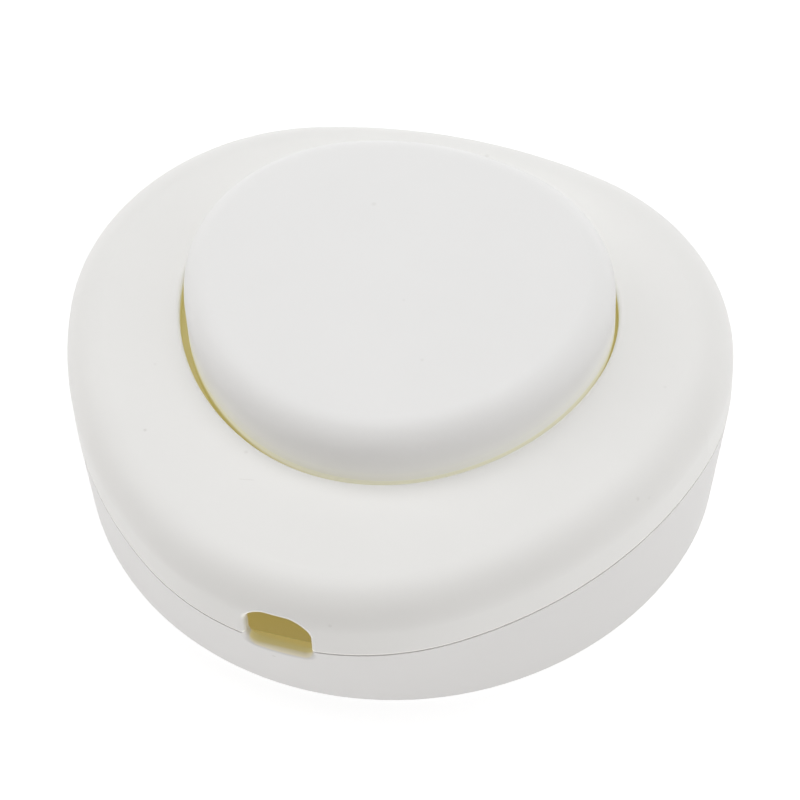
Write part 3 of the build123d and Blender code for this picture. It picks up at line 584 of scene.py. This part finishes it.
# Finishes of the inner pieces
nylon = inner_finish("natural_nylon", NYLON_COLOUR, metallic=0.0, roughness=0.5)
insert_resin = inner_finish("ivory_resin", RESIN_COLOUR, metallic=0.0, roughness=0.5)
brass = inner_finish("stamped_brass", BRASS_COLOUR, metallic=1.0, roughness=0.32)
silver = inner_finish("contact_silver", SILVER_COLOUR, metallic=1.0, roughness=0.28)
spring_wire = inner_finish("spring_wire", WIRE_COLOUR, metallic=1.0, roughness=0.35)
zinc_steel = inner_finish("zinc_steel", ZINC_COLOUR, metallic=1.0, roughness=0.3)
inner_finishes = {
    "plunger": nylon,
    "rotor": nylon,
    "switch_cup": insert_resin,
    "guide_lid": insert_resin,
    "nose_cord_clamp": insert_resin,
    "rear_cord_clamp": insert_resin,
    "contact_spring": spring_wire,
    "rotor_spindle": zinc_steel,
    "contact_bridge": brass,
    "contact_strip_in": brass,
    "contact_strip_out": brass,
    "contact_tips": silver,
    "terminal_in": brass,
    "terminal_out": brass,
    "neutral_terminal": brass,
    "terminal_screws": zinc_steel,
    "insert_screws": zinc_steel,
    "clamp_screws": zinc_steel,
    "cover_screws": zinc_steel,
}
for node_name, finish in inner_finishes.items():
    dress(node_name, finish)


def coil_mesh(name, low, high):
    """Helix of round wire that fills a box and climbs from its +X side."""
    centre_x = (low.x + high.x) / 2
    centre_y = (low.y + high.y) / 2
    radius = (high.x - low.x - SPRING_WIRE) / 2
    climb = high.z - low.z - SPRING_WIRE
    whole_turn = 2 * pi * SPRING_TURNS
    mesh = bmesh.new()
    rings = []
    for step in range(SPRING_STEPS + 1):
        share = step / SPRING_STEPS
        angle = whole_turn * share
        outward = Vector((cos(angle), sin(angle), 0))
        along = Vector((-sin(angle), cos(angle), climb / (whole_turn * radius)))
        upright = outward.cross(along.normalized())
        middle = Vector((centre_x, centre_y, low.z + SPRING_WIRE / 2 + climb * share))
        middle += outward * radius
        ring = []
        for side in range(WIRE_SIDES):
            spin = 2 * pi * side / WIRE_SIDES
            spoke = outward * cos(spin) + upright * sin(spin)
            ring.append(mesh.verts.new(middle + spoke * SPRING_WIRE / 2))
        rings.append(ring)
    for ring, following in zip(rings, rings[1:]):
        for side in range(WIRE_SIDES):
            beside = (side + 1) % WIRE_SIDES
            face = mesh.faces.new((ring[side], ring[beside], following[beside], following[side]))
            face.smooth = True
    mesh.faces.new(rings[0])
    mesh.faces.new(rings[-1])
    bmesh.ops.recalc_face_normals(mesh, faces=mesh.faces)
    data = bpy.data.meshes.new(name)
    mesh.to_mesh(data)
    mesh.free()
    return data


# Return spring, made as a coil in the box of the CAD spring and riding with the casing
spring_low, spring_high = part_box("return_spring")
spring_coil = coil_mesh("pressed_spring", spring_low, spring_high)
spring_coil.materials.append(spring_wire)
spring = bpy.data.objects.new("pressed_spring", spring_coil)
bpy.context.collection.objects.link(spring)
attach(spring, "casing")
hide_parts("return_spring")
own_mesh(spring)

# Studio floor: a light table, so that it stays white round the part
bpy.ops.mesh.primitive_plane_add(size=FLOOR_SIZE, location=(0, 0, 0))
floor = bpy.context.object
floor.name = "studio_floor"
floor_material = bpy.data.materials.new("studio_floor")
floor_material.use_nodes = True
floor_tree = floor_material.node_tree
floor_shader = floor_tree.nodes["Principled BSDF"]
feed(floor_tree, floor_shader, "Base Color", FLOOR_GREY)
feed(floor_tree, floor_shader, "Roughness", FLOOR_ROUGHNESS)
feed(floor_tree, floor_shader, "Emission Color", FLOOR_GLOW_COLOUR)
feed(floor_tree, floor_shader, "Emission Strength", FLOOR_GLOW)
floor.data.materials.append(floor_material)

# Light tent, bright at the horizon and a little darker on the nose's side
world = bpy.data.worlds.new("studio")
world.use_nodes = True
sky_tree = world.node_tree
direction = add_node(sky_tree, "ShaderNodeTexCoord")
direction_parts = add_node(sky_tree, "ShaderNodeSeparateXYZ")
feed(sky_tree, direction_parts, 0, direction.outputs["Generated"])
farness = rising(sky_tree, direction_parts.outputs["Y"], SKY_NEAR_TO_FAR)
highness = rising(sky_tree, direction_parts.outputs["Z"], SKY_LOW_TO_HIGH)
near_sky = mix_colour(sky_tree, highness, NEAR_HORIZON, NEAR_HIGH)
far_sky = mix_colour(sky_tree, highness, FAR_HORIZON, FAR_HIGH)
sky = mix_colour(sky_tree, farness, near_sky, far_sky)
feed(sky_tree, sky_tree.nodes["Background"], "Color", sky)
bpy.context.scene.world = world


def add_softbox(name, place, size, power):
    """Square area light that looks at the origin."""
    light = bpy.data.lights.new(name, "AREA")
    light.shape = "SQUARE"
    light.size = size
    light.energy = power
    softbox = bpy.data.objects.new(name, light)
    softbox.location = place
    softbox.rotation_euler = (-Vector(place)).to_track_quat("-Z", "Y").to_euler()
    bpy.context.collection.objects.link(softbox)


add_softbox("top_light", *TOP_LIGHT)
add_softbox("left_light", *LEFT_LIGHT)
add_softbox("right_light", *RIGHT_LIGHT)

# Camera at the photograph's place
turn = radians(CAMERA_TURN)
elevation = radians(CAMERA_ELEVATION)
roll = radians(CAMERA_ROLL)
forward = Vector((-sin(turn) * cos(elevation), cos(turn) * cos(elevation), -sin(elevation)))
level_right = Vector((cos(turn), sin(turn), 0))
level_up = level_right.cross(forward)
right = level_right * cos(roll) + level_up * sin(roll)
up = level_up * cos(roll) - level_right * sin(roll)
camera_data = bpy.data.cameras.new("camera")
camera_data.sensor_width = CAMERA_SENSOR
camera_data.lens = CAMERA_LENS
camera_data.shift_x, camera_data.shift_y = CAMERA_SHIFT
camera_data.clip_start = CAMERA_CLIP_START
camera = bpy.data.objects.new("camera", camera_data)
rotation = Matrix((right, up, -forward)).transposed().to_4x4()
camera.matrix_world = Matrix.Translation(CAMERA_AIM - forward * CAMERA_DISTANCE) @ rotation
bpy.context.collection.objects.link(camera)
bpy.context.scene.camera = camera
bpy.context.scene.view_settings.view_transform = "Standard"
